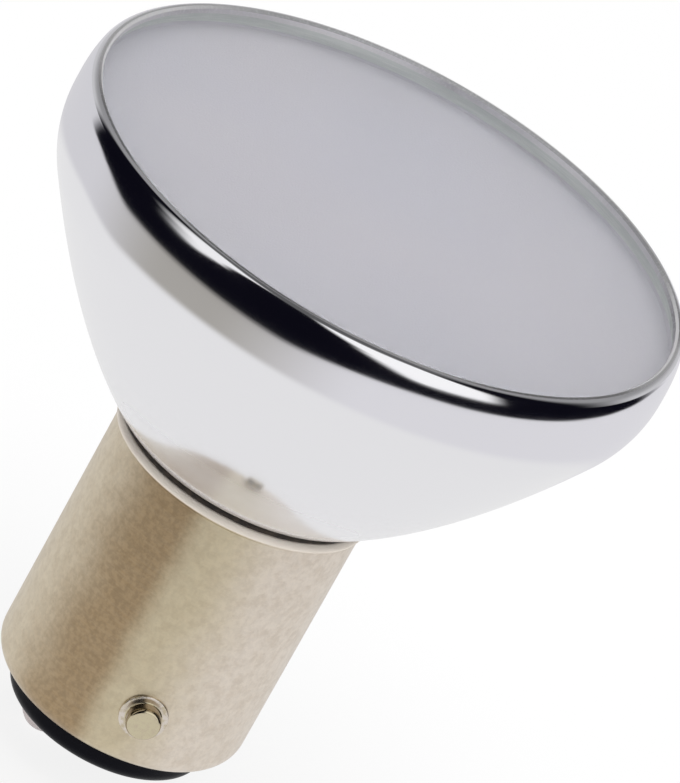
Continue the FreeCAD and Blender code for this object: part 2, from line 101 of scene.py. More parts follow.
@dataclass
class Profile:
    """A section beside an axis, drawn stretch by stretch as pairs of radius and height.

    Each stretch goes on from the last point in a number of steps, one face each, all with the
    finish of one zone.
    """

    points: list[Sequence[float]]
    zones: list[int] = field(default_factory=list)

    def add(self, points: np.ndarray, zone: int) -> "Profile":
        """Append points, each ending a face.

        Args:
            points: Radius and height of each point.
            zone: Index of the finish on the faces.

        Returns:
            The section itself.
        """
        self.points += points.tolist()
        self.zones += [zone] * len(points)
        return self

    def line(self, radius: float, height: float, steps: int = 1, zone: int = 0) -> "Profile":
        """Go straight to a corner: the points divide the way to it evenly."""
        first, share = np.array(self.points[-1]), np.linspace(0.0, 1.0, steps + 1)[1:, None]
        return self.add(first + share * (np.array([radius, height]) - first), zone)

    def arc(self, centre: Span, radius: float, first: float, last: float, steps: int,
            zone: int = 0) -> "Profile":
        """Add an arc: centre plus radius times the cosine and sine of an evenly stepped angle.

        Args:
            centre: Radius and height of the arc's centre.
            radius: The arc's own radius.
            first: Angle of its start, 0 pointing away from the axis.
            last: Angle of its end.
            steps: Number of faces along the arc.
            zone: Index of the finish on it.

        Returns:
            The section itself.
        """
        angle = np.radians(np.linspace(first, last, steps + 1)[1:])
        ring = np.column_stack([np.cos(angle), np.sin(angle)])
        return self.add(np.array(centre) + radius * ring, zone)

    def parabola(self, vertex: float, focal: float, last: float, steps: int) -> "Profile":
        """Follow a parabola with its vertex at a height on the axis, out or in to a last radius."""
        radius = np.linspace(self.points[-1][0], last, steps + 1)[1:]
        return self.add(np.column_stack([radius, vertex + parabola_rise(radius, focal)]), 0)

    def lean(self, radius: float, height: float, steps: int) -> "Profile":
        """Leave upright and lean towards a point: the radius changes with the share cubed.

        Args:
            radius: Radius at the end.
            height: Height at the end, to which the points divide the way evenly.
            steps: Number of faces along the stretch.

        Returns:
            The section itself.
        """
        first_radius, first_height = self.points[-1]
        share = np.linspace(0.0, 1.0, steps + 1)[1:]
        return self.add(np.column_stack([first_radius + (radius - first_radius) * share ** 3,
                                         first_height + (height - first_height) * share]), 0)


def make_object(name: str, vertices: np.ndarray, faces: Faces, finishes: Sequence[Material],
                zones: Sequence[int]) -> bpy.types.Object:
    """Put a worked-out surface into a mesh with smooth faces and crisp corners.

    Args:
        name: Name of the new piece.
        vertices: Points in millimetres, one row each.
        faces: Corner indices of every face.
        finishes: Materials of the piece.
        zones: Index of the material of every face.

    Returns:
        The new object, with its place in its mesh.
    """
    mesh = bpy.data.meshes.new(name)
    mesh.from_pydata((vertices * MM).tolist(), [], faces)
    for material in finishes:
        mesh.materials.append(material)
    mesh.polygons.foreach_set("material_index", np.asarray(zones, np.int32))
    mesh.polygons.foreach_set("use_smooth", np.ones(len(mesh.polygons), bool))
    work = bmesh.new()
    work.from_mesh(mesh)
    bmesh.ops.recalc_face_normals(work, faces=work.faces)
    work.to_mesh(mesh)
    work.free()
    mesh.set_sharp_from_angle(angle=math.radians(CRISP_ANGLE))
    piece = bpy.data.objects.new(name, mesh)
    bpy.context.scene.collection.objects.link(piece)
    return piece


def turned_grid(profile: Profile,
                segments: int) -> tuple[np.ndarray, Faces, list[int], np.ndarray]:
    """Carry a profile round an axis as a grid of angle and stretch.

    A profile point (r, z) becomes the ring r cos t, r sin t, z for t round a full turn. A
    profile either begins and ends on the axis, with a pole at each end, or it is a loop beside
    the axis that ends where it begins.

    Args:
        profile: The section.
        segments: Number of faces round the axis.

    Returns:
        The points, the faces, the finish zone of each face, and each point's profile index.
    """
    points = np.array(profile.points)
    last = len(points) - 1
    loop = points[:, 0].min() > ON_AXIS
    rings = np.arange(0 if loop else 1, last)
    angle = np.linspace(0.0, FULL_TURN, segments, endpoint=False)
    radius = points[rings, 0][:, None]
    grid = np.stack([radius * np.cos(angle), radius * np.sin(angle),
                     np.repeat(points[rings, 1][:, None], segments, axis=1)], axis=-1)
    here = np.arange(grid[..., 0].size).reshape(len(rings), segments)
    if loop:
        here = np.vstack([here, here[:1]])
    after = np.roll(here, -1, axis=1)
    faces = np.stack([here[:-1], after[:-1], after[1:], here[1:]], axis=-1).reshape(-1, 4).tolist()
    zones = np.repeat([profile.zones[ring] for ring in rings[:len(here) - 1]], segments).tolist()
    vertices, owner = grid.reshape(-1, 3), np.repeat(rings, segments)
    for end, row in () if loop else ((0, 0), (last, -1)):
        pole = np.full(segments, len(vertices))
        faces += np.column_stack([pole, here[row], after[row]]).tolist()
        zones += [profile.zones[row]] * segments
        vertices = np.vstack([vertices, [[0.0, 0.0, points[end, 1]]]])
        owner = np.append(owner, end)
    return vertices, faces, zones, owner


def turned(name: str, profile: Profile, finishes: Sequence[Material],
           segments: int) -> bpy.types.Object:
    """Turn a profile round the lamp's axis into a piece with a number of segments."""
    vertices, faces, zones, _ = turned_grid(profile, segments)
    return make_object(name, vertices, faces, finishes, zones)


def bore(piece: bpy.types.Object, radius: float, centres: Sequence[Vector], along: Vector,
         length: float, sides: int = 64) -> None:
    """Drill round holes through a piece and keep the result in its mesh.

    Args:
        piece: The piece to drill.
        radius: Radius of the holes.
        centres: Centre of each hole.
        along: Direction of the holes.
        length: Length of the drill.
        sides: Number of faces round the drill.
    """
    turn = along.to_track_quat("Z", "Y").to_matrix().to_4x4()
    for centre in centres:
        drill = bmesh.new()
        bmesh.ops.create_cone(drill, cap_ends=True, segments=sides, radius1=radius * MM,
                              radius2=radius * MM, depth=length * MM,
                              matrix=Matrix.Translation(centre * MM) @ turn)
        mesh = bpy.data.meshes.new("drill")
        drill.to_mesh(mesh)
        drill.free()
        tool = bpy.data.objects.new("drill", mesh)
        bpy.context.scene.collection.objects.link(tool)
        cut = piece.modifiers.new("hole", "BOOLEAN")
        cut.operation = "DIFFERENCE"
        cut.solver = "EXACT"
        cut.object = tool
        bpy.context.view_layer.update()
        drilled = bpy.data.meshes.new_from_object(
            piece.evaluated_get(bpy.context.evaluated_depsgraph_get()))
        piece.modifiers.clear()
        piece.data = drilled
        bpy.data.objects.remove(tool)
    piece.data.set_sharp_from_angle(angle=math.radians(CRISP_ANGLE))


def seat(piece: bpy.types.Object, slot: Slot, *nodes: str) -> None:
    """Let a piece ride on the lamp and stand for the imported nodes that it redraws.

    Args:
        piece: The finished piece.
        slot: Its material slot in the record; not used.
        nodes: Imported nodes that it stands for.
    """
    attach(piece, BODY)
    if nodes:
        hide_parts(*nodes)
    LOG.info("%s: %d faces, stands for %s", piece.name, len(piece.data.polygons), nodes or "none")


class Value:
    """A number or colour that varies over a surface. Sums and products of values add nodes."""

    def __init__(self, graph: "Graph", socket: Socket) -> None:
        """Hold the socket that gives the value."""
        self.graph = graph
        self.socket = socket

    def __add__(self, other: "Value | float") -> "Value":
        """Give the sum with another value or a number."""
        return self.graph.calc("ADD", self, other)

    def __sub__(self, other: "Value | float") -> "Value":
        """Give this value less another one or a number."""
        return self.graph.calc("SUBTRACT", self, other)

    def __rsub__(self, number: float) -> "Value":
        """Give a number less this value."""
        return self.graph.calc("SUBTRACT", number, self)

    def __mul__(self, other: "Value | float") -> "Value":
        """Give the product with another value or a number."""
        return self.graph.calc("MULTIPLY", self, other)

    def __abs__(self) -> "Value":
        """Give the value without its sign."""
        return self.graph.calc("ABSOLUTE", self)

    def fade(self, first: float, last: float, start: float = 0.0, end: float = 1.0) -> "Value":
        """Turn the value into a soft step: start up to first, end from last on, smooth between.

        Args:
            first: Where the step begins.
            last: Where it ends.
            start: Result before the step.
            end: Result after it.

        Returns:
            The step.
        """
        made = self.graph.node("MapRange", interpolation_type="SMOOTHSTEP")
        return Value(self.graph, self.graph.fill(made, Value=self, From_Min=first, From_Max=last,
                                                 To_Min=start, To_Max=end))


# What an input of a node can read
Source = Value | Socket | Colour | float


@dataclass(frozen=True)
class Grain:
    """A cloudy pattern: its lumps a millimetre, layers of detail, their weight, and its stretch."""

    scale: float
    detail: float = 2.0
    weight: float = 0.5
    stretch: Colour = (1.0, 1.0, 1.0)


class Graph:
    """A node tree that is built step by step."""

    def __init__(self, tree: bpy.types.NodeTree) -> None:
        """Start from an empty tree."""
        self.tree = tree
        tree.nodes.clear()

    def node(self, kind: str, **settings: object) -> bpy.types.Node:
        """Add a shading node.

        Args:
            kind: Its kind.
            settings: Its properties by name.

        Returns:
            The new node.
        """
        made = self.tree.nodes.new("ShaderNode" + kind)
        for name, value in settings.items():
            setattr(made, name, value)
        return made

    def feed(self, target: Socket, value: Source) -> None:
        """Give an input what it reads.

        Args:
            target: The input.
            value: A value or socket to link, or a plain number or colour to write there.
        """
        if isinstance(value, Value):
            value = value.socket
        if isinstance(value, Socket):
            self.tree.links.new(value, target)
        else:
            target.default_value = (*value, 1.0) if isinstance(value, tuple) else value

    def fill(self, node: bpy.types.Node, **inputs: Source) -> Socket:
        """Feed a node's inputs.

        Args:
            node: The node.
            inputs: What each input reads, by its name with underscores for spaces.

        Returns:
            The node's first output.
        """
        for name, value in inputs.items():
            self.feed(node.inputs[name.replace("_", " ")], value)
        return node.outputs[0]

    def show(self, kind: str, surface: Socket) -> None:
        """Lead a shader to the output of a material or world."""
        self.feed(self.node(kind).inputs["Surface"], surface)

    def calc(self, operation: str, first: Source, second: Source = 0.0) -> Value:
        """Work out one operation on a value or number, or on two of them.

        Args:
            operation: Name of the operation.
            first: First value or number.
            second: Second one, where the operation has two.

        Returns:
            The result.
        """
        made = self.node("Math", operation=operation)
        self.feed(made.inputs[0], first)
        self.feed(made.inputs[1], second)
        return Value(self, made.outputs[0])

    def blend(self, share: Source, first: Source, second: Source, mode: str = "MIX") -> Value:
        """Mix two colours.

        Args:
            share: Share of the second colour, from 0 to 1.
            first: First colour.
            second: Second colour.
            mode: How the colours mix.

        Returns:
            The mixed colour.
        """
        made = self.node("Mix", data_type="RGBA", blend_type=mode)
        for index, value in ((0, share), (6, first), (7, second)):
            self.feed(made.inputs[index], value)
        return Value(self, made.outputs[2])

    def mix(self, share: Source, first: Socket, second: Socket) -> Socket:
        """Mix two shaders.

        Args:
            share: Share of the second shader, from 0 to 1.
            first: First shader.
            second: Second shader.

        Returns:
            The mixed shader.
        """
        made = self.node("MixShader")
        for target, value in zip(made.inputs, (share, first, second)):
            self.feed(target, value)
        return made.outputs[0]

    def noise(self, grain: Grain, place: Value | None = None) -> Value:
        """Add a cloudy pattern.

        Args:
            grain: The pattern.
            place: Where it is read, which is the place on the lamp unless it is given.

        Returns:
            Its value, from 0 to 1.
        """
        made = self.node("TexNoise")
        self.fill(made, Vector=place or self.place(grain.stretch), Scale=grain.scale,
                  Detail=grain.detail, Roughness=grain.weight)
        return Value(self, made.outputs["Fac"])

    def place(self, stretch: Colour = (1.0, 1.0, 1.0)) -> Value:
        """Give the place on the lamp.

        Args:
            stretch: Factor along each axis.

        Returns:
            The place in millimetres, times the factors.
        """
        mapping = self.node("Mapping")
        self.feed(mapping.inputs["Vector"], self.node("TexCoord").outputs["Object"])
        mapping.inputs["Scale"].default_value = tuple(factor / MM for factor in stretch)
        return Value(self, mapping.outputs["Vector"])

    def split(self, vector: Source) -> tuple[Value, ...]:
        """Take a vector apart.

        Args:
            vector: The vector.

        Returns:
            Its three parts.
        """
        made = self.node("SeparateXYZ")
        self.feed(made.inputs[0], vector)
        return tuple(Value(self, part) for part in made.outputs)

    def join(self, first: Source, second: Source, third: Source) -> Value:
        """Make a vector from three values."""
        made = self.node("CombineXYZ")
        return Value(self, self.fill(made, X=first, Y=second, Z=third))

    def distance(self, east: Value, north: Value) -> Value:
        """Give the distance from the lamp's axis: the root of the sum of both parts squared."""
        return self.calc("SQRT", east * east + north * north)

    def around(self, east: Value, north: Value) -> Value:
        """Give the angle round the lamp, positive to the right of its front.

        It is the arc tangent of the parts of the place to the right and to the front.

        Args:
            east: Place along X.
            north: Place along Y.

        Returns:
            The angle in degrees.
        """
        turn = math.radians(FRONT_AZIMUTH)
        ahead = east * math.sin(turn) - north * math.cos(turn)
        right = east * math.cos(turn) + north * math.sin(turn)
        return self.calc("ARCTAN2", right, ahead) * math.degrees(1.0)

    def seen(self) -> Value:
        """Give 1 on rays that reach the eye straight or through glass, and 0 on all others."""
        rays = self.node("LightPath").outputs
        return self.calc("MAXIMUM", rays["Is Camera Ray"], rays["Is Transmission Ray"])


class Finish:
    """A surface finish: a material made of one shader and what varies over the lamp."""

    def __init__(self, name: str) -> None:
        """Start a material with a plain shader.

        Args:
            name: The material's name.
        """
        self.material = bpy.data.materials.new(name)
        self.material.use_nodes = True
        self.graph = Graph(self.material.node_tree)
        self.shader = self.graph.node("BsdfPrincipled")
        self.graph.show("OutputMaterial", self.shader.outputs[0])

    def put(self, **values: Source) -> "Finish":
        """Set the shader's inputs, named with underscores for spaces, and return the finish."""
        self.graph.fill(self.shader, **values)
        return self

    def relief(self, height: Value, depth: float) -> "Finish":
        """Raise the surface by a pattern.

        Args:
            height: Pattern from 0 to 1.
            depth: Height of the relief in millimetres where the pattern is 1.

        Returns:
            The finish itself.
        """
        bump = self.graph.node("Bump")
        self.put(Normal=self.graph.fill(bump, Height=height, Distance=depth * MM))
        return self


@dataclass(frozen=True)
class SpunAluminium:
    """Polished spun aluminium: a mirror with faint rings left by the forming roller.

    Low on the bowl, where the roller turned its tightest circle, the mirror is hazy.
    """

    name: str = "polished_aluminium"
    colour: Colour = (0.905, 0.900, 0.925)
    roughness: float = 0.06
    cloud: Grain = Grain(0.35, 3.0)
    cloud_roughness: float = 0.05
    rings: Grain = Grain(5.0, 4.0, 0.6)
    ring_depth: float = 0.0006
    haze_foot: Span = (21.5, 22.2)
    haze_top: Span = (23.5, 28.0)
    haze_roughness: float = 0.055
    haze_share: float = 0.45

    def build(self) -> Material:
        """Make the material, whose rings are a pattern over radius and height alone.

        Returns:
            The material.
        """
        finish = Finish(self.name)
        graph = finish.graph
        east, north, height = graph.split(graph.place())
        rings = graph.noise(self.rings, graph.join(graph.distance(east, north), height, 0.0))
        haze = height.fade(*self.haze_foot) * height.fade(*self.haze_top, 1.0, 0.0)
        rough = graph.noise(self.cloud) * self.cloud_roughness + self.roughness
        finish.put(Base_Color=self.colour, Metallic=1.0 - haze * self.haze_share,
                   Roughness=rough + haze * self.haze_roughness)
        return finish.relief(rings, self.ring_depth).material


@dataclass(frozen=True)
class CutEdge:
    """The worn crest and raw inner edge of the rolled lip, duller than the mirror.

    A few stretches are painted bright as highlights, each given by the angle round the lamp of its
    middle and its half width. The inner part of a stretch is evenly bright, and the rest fades out.
    """

    name: str = "lip_edge"
    colour: Colour = (0.40, 0.395, 0.40)
    roughness: float = 0.36
    metallic: float = 1.0
    nicks: Grain = Grain(6.0, 3.0)
    nick_span: Span = (0.45, 0.7)
    nick_tone: Colour = (0.55, 0.55, 0.56)
    nick_depth: float = 0.01
    bright: Colour = (0.97, 0.96, 0.96)
    bright_share: float = 0.75
    inner_part: float = 0.4
    # Painted highlights: middle and half width of each bright stretch, in degrees round the lamp
    highlight_stretches: tuple[Span, ...] = (
        (-150.0, 45.0), (-95.0, 32.0), (-38.0, 12.0), (14.0, 22.0), (82.0, 20.0), (150.0, 50.0))

    def build(self) -> Material:
        """Make the material, with fine nicks along the edge.

        Returns:
            The material.
        """
        finish = Finish(self.name)
        graph = finish.graph
        east, north, _ = graph.split(graph.place())
        angle = graph.around(east, north)
        nicks = graph.noise(self.nicks)
        tone = graph.blend(nicks.fade(*self.nick_span), self.colour, self.nick_tone)
        # Lay each painted highlight over the tone
        for middle, half in self.highlight_stretches:
            share = abs(angle - middle).fade(half * self.inner_part, half, self.bright_share, 0.0)
            tone = graph.blend(share, tone, self.bright)
        finish.put(Base_Color=tone, Metallic=self.metallic, Roughness=self.roughness)
        return finish.relief(nicks, self.nick_depth).material


@dataclass(frozen=True)
class ClearGlass:
    """The front glass's polished outer face, which bends light as crown glass does."""

    name: str = "clear_glass"
    ior: float = 1.52

    def build(self) -> Material:
        """Make the clear material."""
        finish = Finish(self.name)
        return finish.put(Base_Color=WHITE, Transmission_Weight=1.0, IOR=self.ior,
                          Roughness=0.0).material


@dataclass(frozen=True)
class EtchedGlass:
    """The front glass's frosted inner face, as it looks through the clear glass."""

    name: str = "frosted_glass"
    colour: Colour = (0.550, 0.548, 0.598)
    warmth: Colour = (1.035, 1.02, 1.0)
    roughness: float = 0.9
    cloud: Grain = Grain(0.06, 1.0)
    cloud_span: Span = (0.3, 0.7)
    frost: Grain = Grain(9.0)
    frost_share: float = 0.04
    frost_depth: float = 0.02

    def build(self) -> Material:
        """Make the frosted material: a soft tone that drifts a little across the disc.

        Returns:
            The material.
        """
        finish = Finish(self.name)
        graph = finish.graph
        frost = graph.noise(self.frost)
        warmer = tuple(part * factor for part, factor in zip(self.colour, self.warmth))
        tone = graph.blend(graph.noise(self.cloud).fade(*self.cloud_span), self.colour, warmer)
        tone = graph.blend(frost * self.frost_share, tone, WHITE)
        finish.put(Base_Color=tone, Roughness=self.roughness, Specular_IOR_Level=0.0)
        return finish.relief(frost, self.frost_depth).material


@dataclass(frozen=True)
class SatinNickel:
    """Satin nickel plate on drawn brass, with one darker brown stretch of its turn.

    The stretch comes in softly from the left and ends in a clear, slightly wavy edge near the
    front. The plate is mottled, level drawing marks run round it, and a fine grain lies over
    both, stronger over the brown stretch. The bead at its mouth is duller, and painted whiter as
    a highlight.
    """

    name: str = "nickel_plate"
    roughness: float = 0.28
    flank: Colour = (0.71, 0.62, 0.475)
    # Colour of the darker brown stretch, which is placed by angle round the lamp
    brown_band: Colour = (0.405, 0.292, 0.170)
    plain: Colour = (0.66, 0.57, 0.40)
    pale: Colour = (0.82, 0.735, 0.64)
    brown_band_start: Span = (-56.0, -14.0)
    brown_band_end: Span = (-7.0, 5.5)
    pale_from: Span = (12.0, 50.0)
    back_from: Span = (95.0, 165.0)
    cloud: Grain = Grain(0.35, 3.0, 0.55)
    cloud_shift: float = 14.0
    wave: Grain = Grain(0.3, 3.0, 0.6)
    wave_shift: float = 9.0
    mottle: Grain = Grain(1.3, 5.0, 0.72)
    mottle_span: Span = (0.42, 0.64)
    mottle_share: float = 0.17
    mottle_tone: Colour = (0.42, 0.31, 0.19)
    mottle_roughness: float = 0.16
    marks: Grain = Grain(1.6, 3.0, 0.6, (0.25, 0.25, 8.0))
    mark_span: Span = (0.3, 0.7)
    mark_share: float = 0.05
    mark_tone: Colour = (0.86, 0.80, 0.68)
    mark_relief: float = 0.7
    relief_depth: float = 0.005
    grain: Grain = Grain(3.0, 4.0, 0.66)
    grain_span: Span = (0.36, 0.64)
    grain_gain: Span = (0.84, 1.13)
    grain_share: float = 0.25
    grain_on_brown_band: float = 0.45
    # Whiter bead tone: a painted highlight on the bead's round, which is also duller and less
    # metallic
    bead: Colour = (1.0, 0.92, 0.82)
    bead_foot: Span = (20.34, 20.46)
    bead_metal: float = 0.35
    bead_roughness: float = 0.25

    def build(self) -> Material:
        """Make the material from stretches of tone and the patterns over them.

        Returns:
            The material.
        """
        finish = Finish(self.name)
        graph = finish.graph
        east, north, height = graph.split(graph.place())
        angle = graph.around(east, north)
        wave = graph.noise(self.wave, graph.join(0.0, 0.0, height))
        mottle = graph.noise(self.mottle)
        marks = graph.noise(self.marks)
        grain = graph.noise(self.grain).fade(*self.grain_span, *self.grain_gain)
        soft = angle + graph.noise(self.cloud) * self.cloud_shift
        # The darker brown stretch, set by angle round the lamp
        begun = soft.fade(*self.brown_band_start)
        ended = (angle + wave * self.wave_shift).fade(*self.brown_band_end)
        tone = graph.blend(begun, self.flank, self.brown_band)
        tone = graph.blend(ended, tone, self.plain)
        tone = graph.blend(soft.fade(*self.pale_from), tone, self.pale)
        tone = graph.blend(abs(angle).fade(*self.back_from), tone, self.plain)
        share = mottle.fade(*self.mottle_span) * self.mottle_share
        tone = graph.blend(share, tone, self.mottle_tone)
        tone = graph.blend(marks.fade(*self.mark_span) * self.mark_share, tone, self.mark_tone)
        share = begun * (1.0 - ended) * self.grain_on_brown_band + self.grain_share
        tone = graph.blend(share, tone, grain, "MULTIPLY")
        # The bead turns whiter: painted highlight
        bead = height.fade(*self.bead_foot)
        tone = graph.blend(bead, tone, self.bead)
        rough = mottle * self.mottle_roughness + self.roughness
        finish.put(Base_Color=tone, Roughness=rough + bead * self.bead_roughness,
                   Metallic=height.fade(*self.bead_foot, 1.0, self.bead_metal))
        ridges = marks * self.mark_relief + mottle * (1.0 - self.mark_relief)
        return finish.relief(ridges, self.relief_depth).material


@dataclass(frozen=True)
class BlackGlass:
    """The cap's black glass foot, glossy from its mould."""

    name: str = "black_glass"
    colour: Colour = (0.0035, 0.0035, 0.0075)
    ior: float = 1.52
    specular: float = 0.08
    roughness: float = 0.3
    flow: Grain = Grain(0.5)
    flow_roughness: float = 0.12
    flow_depth: float = 0.05

    def build(self) -> Material:
        """Make the material, with a gently uneven moulded gloss.

        Returns:
            The material.
        """
        finish = Finish(self.name)
        flow = finish.graph.noise(self.flow)
        finish.put(Base_Color=self.colour, Roughness=flow * self.flow_roughness + self.roughness,
                   IOR=self.ior, Specular_IOR_Level=self.specular)
        return finish.relief(flow, self.flow_depth).material


@dataclass(frozen=True)
class TwoTone:
    """A finish that drifts between two tones in a cloudy pattern, which may roughen it too.

    The pattern also gives its relief, unless the finish has pits of their own. A depth of 0
    leaves it smooth.
    """

    name: str
    colour: Colour
    second: Colour
    cloud: Grain = Grain(1.5, 4.0)
    span: Span = (0.35, 0.7)
    metallic: float = 0.0
    roughness: float = 0.5
    cloud_roughness: float = 0.0
    specular: float = 0.5
    transmission: float = 0.0
    pits: Grain | None = None
    depth: float = 0.01

    def build(self) -> Material:
        """Make the material from its two tones.

        Returns:
            The material.
        """
        finish = Finish(self.name)
        graph = finish.graph
        cloud = graph.noise(self.cloud)
        rough = self.roughness
        if self.cloud_roughness:
            rough = cloud * self.cloud_roughness + self.roughness
        finish.put(Base_Color=graph.blend(cloud.fade(*self.span), self.colour, self.second),
                   Metallic=self.metallic, Roughness=rough, Specular_IOR_Level=self.specular,
                   Transmission_Weight=self.transmission)
        if self.depth:
            finish.relief(graph.noise(self.pits) if self.pits else cloud, self.depth)
        return finish.material


# Greenish ground edge of the front glass, mottled by the wheel
GROUND_EDGE = TwoTone("ground_glass_edge", (0.66, 0.70, 0.67), (0.74, 0.77, 0.74),
                      Grain(2.5, 3.0, stretch=(0.3, 0.3, 2.0)), roughness=0.85, specular=0.0,
                      depth=0.0)
# Polished nickel with faint turning marks: the bayonet pin's end, its pale collar, and its side
# painted darker as shade
PIN_END = TwoTone("pin_metal", (0.64, 0.57, 0.40), (0.60, 0.52, 0.38), Grain(3.0, 3.0), (0.4, 0.7),
                  metallic=1.0, roughness=0.08, cloud_roughness=0.1, depth=0.0)
PIN_COLLAR = replace(PIN_END, name="collar_metal", colour=(0.76, 0.69, 0.62), roughness=0.19)
# The pin's side: painted shade, a darker copy of the pin's metal
PIN_SHADED_SIDE = replace(PIN_END, name="pin_side_painted_shade", colour=(0.36, 0.29, 0.18), second=(0.30, 0.23, 0.14))
# Solder dome: pale, faintly pink, with a grey bloom, pitted and dull
SOLDER = TwoTone("solder", (0.88, 0.79, 0.78), (0.76, 0.69, 0.69), Grain(1.4, 4.0), (0.4, 0.7),
                 metallic=0.5, roughness=0.48, pits=Grain(6.0, 3.0), depth=0.03)
# Near-black seam cement: partly dark cement, partly painted shade for the shadow in the narrow gap
SEAM_SHADE_CEMENT = TwoTone("seam_cement_and_shade", (0.014, 0.009, 0.006), (0.050, 0.034, 0.022),
                      Grain(2.0, 4.0), roughness=0.75, depth=0.05)
EYELET_BRASS = TwoTone("eyelet_brass", (0.80, 0.66, 0.38), (0.66, 0.50, 0.26), metallic=1.0,
                       roughness=0.3)
QUARTZ = TwoTone("quartz", (0.92, 0.93, 0.95), (0.97, 0.97, 0.98), Grain(0.3, 4.0),
                 roughness=0.06, transmission=1.0)
NECK_CEMENT = TwoTone("cement", (0.80, 0.77, 0.70), (0.62, 0.58, 0.50), Grain(1.2, 4.0),
                      roughness=0.9, depth=0.08)
LEAD_METAL = TwoTone("lead_metal", (0.66, 0.64, 0.61), (0.50, 0.47, 0.43), Grain(3.0, 4.0),
                     metallic=1.0, roughness=0.35)


def dress(finish: TwoTone, *nodes: str) -> None:
    """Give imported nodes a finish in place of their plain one.

    Args:
        finish: The finish to build.
        nodes: Names of the nodes.
    """
    material = finish.build()
    for node in nodes:
        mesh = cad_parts[node].data
        mesh.materials.clear()
        mesh.materials.append(material)
        LOG.info("%s: dressed in %s", node, material.name)


@dataclass
class Bowl:
    """The spun aluminium reflector: neck, paraboloid bowl and rim rolled over the glass.

    The turn from its flat shoulder into the bowl is foot_round wide: it passes round_lift of
    that over the shoulder and meets the bowl round_reach of it further out. Lip angles are
    those of the rolled lip's own arc, 0 pointing away from the axis.
    """

    focal: float = 5.05
    foot_radius: float = 7.85
    foot_round: float = 0.22
    round_lift: float = 0.28
    round_reach: float = 0.6
    axial_wall: float = 1.1
    neck_radius: float = 6.98
    neck_wall: float = 0.65
    rim_radius: float = 18.25
    rim_wall: float = 0.45
    draft: float = 0.2
    blend_depth: float = 0.84
    seat_width: float = 0.5
    lip_overlap: float = 0.41
    lip_round: float = 0.5
    lip_start: float = 15.0
    lip_satin: float = 73.0
    lip_end: float = 93.0
    lip_bevel: float = 0.14

    def profile(self) -> Profile:
        """Draw the wall's section.

        The rim's blend is an arc tangent to the parabola and to the upright band: its radius is
        the blend's depth over one less the parabola's inward share of slope.

        Returns:
            The closed section, with the lip's worn crest and cut edge as zone 1 and the narrow
            bevel between them as zone 2.
        """
        foot, crest = height_of("reflector", 0), height_of("reflector", 1)
        glass_foot, glass_top = height_of("front_glass", 0), height_of("front_glass", 1)
        shoulder = height_of("cap_shell", 1) + SEAM_GAP
        vertex = shoulder - parabola_rise(self.foot_radius, self.focal)
        mirror = vertex + self.axial_wall
        bowl_end = self.rim_radius - self.blend_depth
        slant = math.hypot(bowl_end, 2.0 * self.focal)
        steep = math.degrees(math.atan2(2.0 * self.focal, bowl_end))
        blend = self.blend_depth / (1.0 - bowl_end / slant)
        band_foot = vertex + parabola_rise(bowl_end, self.focal) + blend * 2.0 * self.focal / slant
        bore_radius = self.rim_radius - self.rim_wall
        lip = bore_radius - self.lip_overlap
        seat_radius = bore_radius - self.seat_width
        neck_bore = self.neck_radius - self.neck_wall
        start = self.foot_radius + self.foot_round * self.round_reach
        section = Profile([(neck_bore, foot)])
        section.line(self.neck_radius, foot).line(self.neck_radius, shoulder, steps=6)
        section.line(self.foot_radius - self.foot_round, shoulder, steps=2)
        section.line(self.foot_radius, shoulder + self.foot_round * self.round_lift)
        section.line(start, vertex + parabola_rise(start, self.focal))
        section.parabola(vertex, self.focal, bowl_end, steps=56)
        section.arc((self.rim_radius - blend, band_foot), blend, -steep, 0.0, steps=14)
        middle = (self.rim_radius - self.draft - self.lip_round, crest - self.lip_round)
        first = math.radians(self.lip_start)
        section.lean(middle[0] + self.lip_round * math.cos(first),
                     middle[1] + self.lip_round * math.sin(first), steps=26)
        section.arc(middle, self.lip_round, self.lip_start, self.lip_satin, steps=14)
        section.arc(middle, self.lip_round, self.lip_satin, self.lip_end, steps=6, zone=1)
        section.line(lip, crest - self.lip_bevel, steps=2, zone=2)
        section.line(lip, glass_top, steps=2, zone=1)
        section.line(bore_radius, glass_top).line(bore_radius, glass_foot, steps=4)
        section.line(seat_radius, glass_foot)
        section.line(seat_radius, mirror + parabola_rise(seat_radius, self.focal))
        section.parabola(mirror, self.focal, neck_bore, steps=30)
        return section.line(neck_bore, foot, steps=6)

    def make(self) -> None:
        """Turn the bowl and give it its mirror, its worn crest and its duller bevel."""
        # The bevel's bright stretches at both sides are painted highlights
        bevel = CutEdge(name="lip_bevel", colour=(0.44, 0.44, 0.45), roughness=0.5, metallic=0.6,
                        highlight_stretches=((-90.0, 58.0), (90.0, 36.0)))
        finishes = [SpunAluminium().build(), CutEdge().build(), bevel.build()]
        piece = turned("mirror_bowl", self.profile(), finishes, segments=480)
        seat(piece, Slot.BOWL, "reflector")


@dataclass
class FrontGlass:
    """The glass disc under the rolled lip: clear outside, frosted inside, ground at its edge.

    It keeps a hair's clearance from the seat and the rim band.
    """

    chamfer: float = 0.2
    clearance: float = 0.012

    def profile(self) -> Profile:
        """Draw half the disc's section.

        Returns:
            The section, with the clear face as zone 0, the frosted one as 1, the edge as 2.
        """
        low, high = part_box("front_glass")
        radius, foot, top = high.x / MM - self.clearance, low.z / MM + self.clearance, high.z / MM
        section = Profile([(0.0, foot)])
        section.line(radius - self.chamfer, foot, steps=12, zone=1)
        section.line(radius, foot + self.chamfer, zone=1)
        section.line(radius, top - self.chamfer, steps=4, zone=2)
        section.line(radius - self.chamfer, top, zone=2)
        return section.line(0.0, top, steps=12)

    def make(self) -> None:
        """Turn the disc and dress its three faces."""
        finishes = [ClearGlass().build(), EtchedGlass().build(), GROUND_EDGE.build()]
        piece = turned("glass_disc", self.profile(), finishes, segments=256)
        seat(piece, Slot.GLASS, "front_glass")


